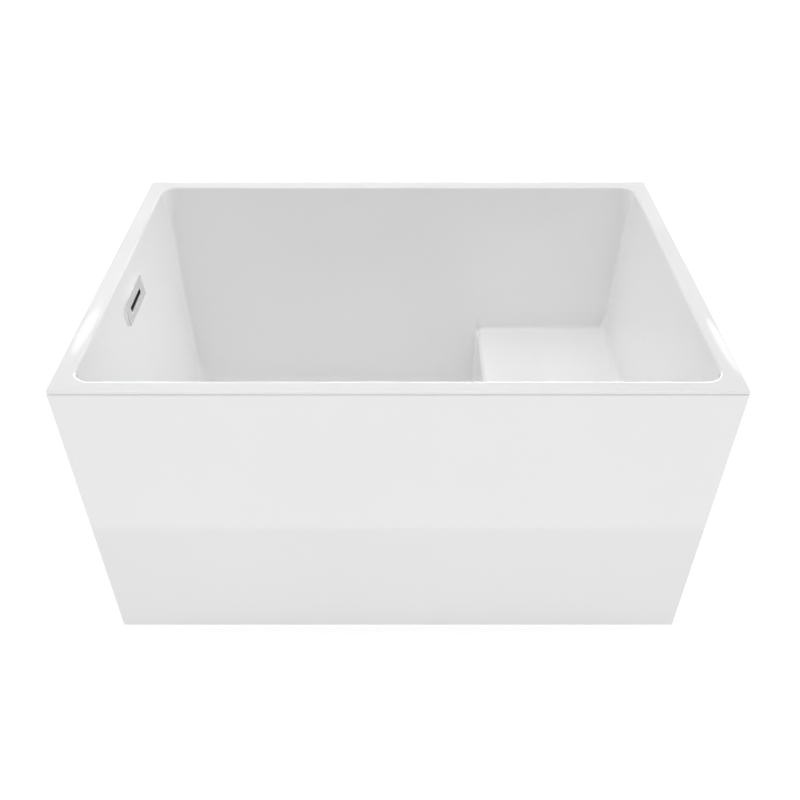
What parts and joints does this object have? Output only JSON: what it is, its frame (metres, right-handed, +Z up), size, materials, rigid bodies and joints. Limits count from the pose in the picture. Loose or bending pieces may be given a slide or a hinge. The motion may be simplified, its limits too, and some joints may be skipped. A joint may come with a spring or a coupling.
{
  "type": "bathtub",
  "caption": "Freestanding rectangular soaking tub with a moulded seat step, slotted overflow, pop-up waste, outer skirt and levelling feet",
  "frame": {"origin": "on the floor under the middle of the tub", "axes": "+Z up, +X along the length towards the seat, -Y the front"},
  "size_m": [1.2, 0.8, 0.66],
  "materials": {
    "acrylic": "gloss",
    "board": "raw board",
    "frame_paint": "satin grey paint",
    "zinc": "zinc plated",
    "chrome": "polished",
    "rubber": "matt",
    "pipe": "moulded",
    "brass": "turned",
    "pad": "moulded"
  },
  "bodies": {
    "root": {"basin": "acrylic", "skirt": "acrylic", "floor_board": "board", "seat_board": "board", "rail_front": "frame_paint", "rail_back": "frame_paint", "cross_bar_left": "frame_paint", "cross_bar_mid": "frame_paint", "cross_bar_right": "frame_paint", "rail_caps": "pad", "seat_prop_front": "frame_paint", "seat_prop_back": "frame_paint", "foot_bushes": "zinc", "lock_nuts": "zinc", "board_screws": "zinc", "waste_flange": "chrome", "waste_gasket": "rubber", "waste_body": "pipe", "stopper_sleeve": "brass", "overflow_cover": "chrome", "overflow_gasket": "rubber", "overflow_body": "pipe", "overflow_screws": "zinc", "overflow_duct": "pipe", "duct_elbow": "pipe", "duct_run": "pipe"},
    "stopper": {"stopper_cap": "chrome", "stopper_seal": "rubber", "stopper_stem": "chrome"},
    "foot_front_left": {"foot_stud_front_left": "zinc", "foot_pad_front_left": "pad"},
    "foot_front_right": {"foot_stud_front_right": "zinc", "foot_pad_front_right": "pad"},
    "foot_back_left": {"foot_stud_back_left": "zinc", "foot_pad_back_left": "pad"},
    "foot_back_right": {"foot_stud_back_right": "zinc", "foot_pad_back_right": "pad"},
    "foot_mid": {"foot_stud_mid": "zinc", "foot_pad_mid": "pad"}
  },
  "joints": [
    {"name": "stopper_lift", "type": "slide", "parent": "root", "child": "stopper", "axis": [0, 0, 1], "range_m": [0, 0.01]},
    {"name": "foot_front_left_level", "type": "slide", "parent": "root", "child": "foot_front_left", "axis": [0, 0, -1], "range_m": [0, 0.012]},
    {"name": "foot_front_right_level", "type": "slide", "parent": "root", "child": "foot_front_right", "axis": [0, 0, -1], "range_m": [0, 0.012]},
    {"name": "foot_back_left_level", "type": "slide", "parent": "root", "child": "foot_back_left", "axis": [0, 0, -1], "range_m": [0, 0.012]},
    {"name": "foot_back_right_level", "type": "slide", "parent": "root", "child": "foot_back_right", "axis": [0, 0, -1], "range_m": [0, 0.012]},
    {"name": "foot_mid_level", "type": "slide", "parent": "root", "child": "foot_mid", "axis": [0, 0, -1], "range_m": [0, 0.012]}
  ]
}
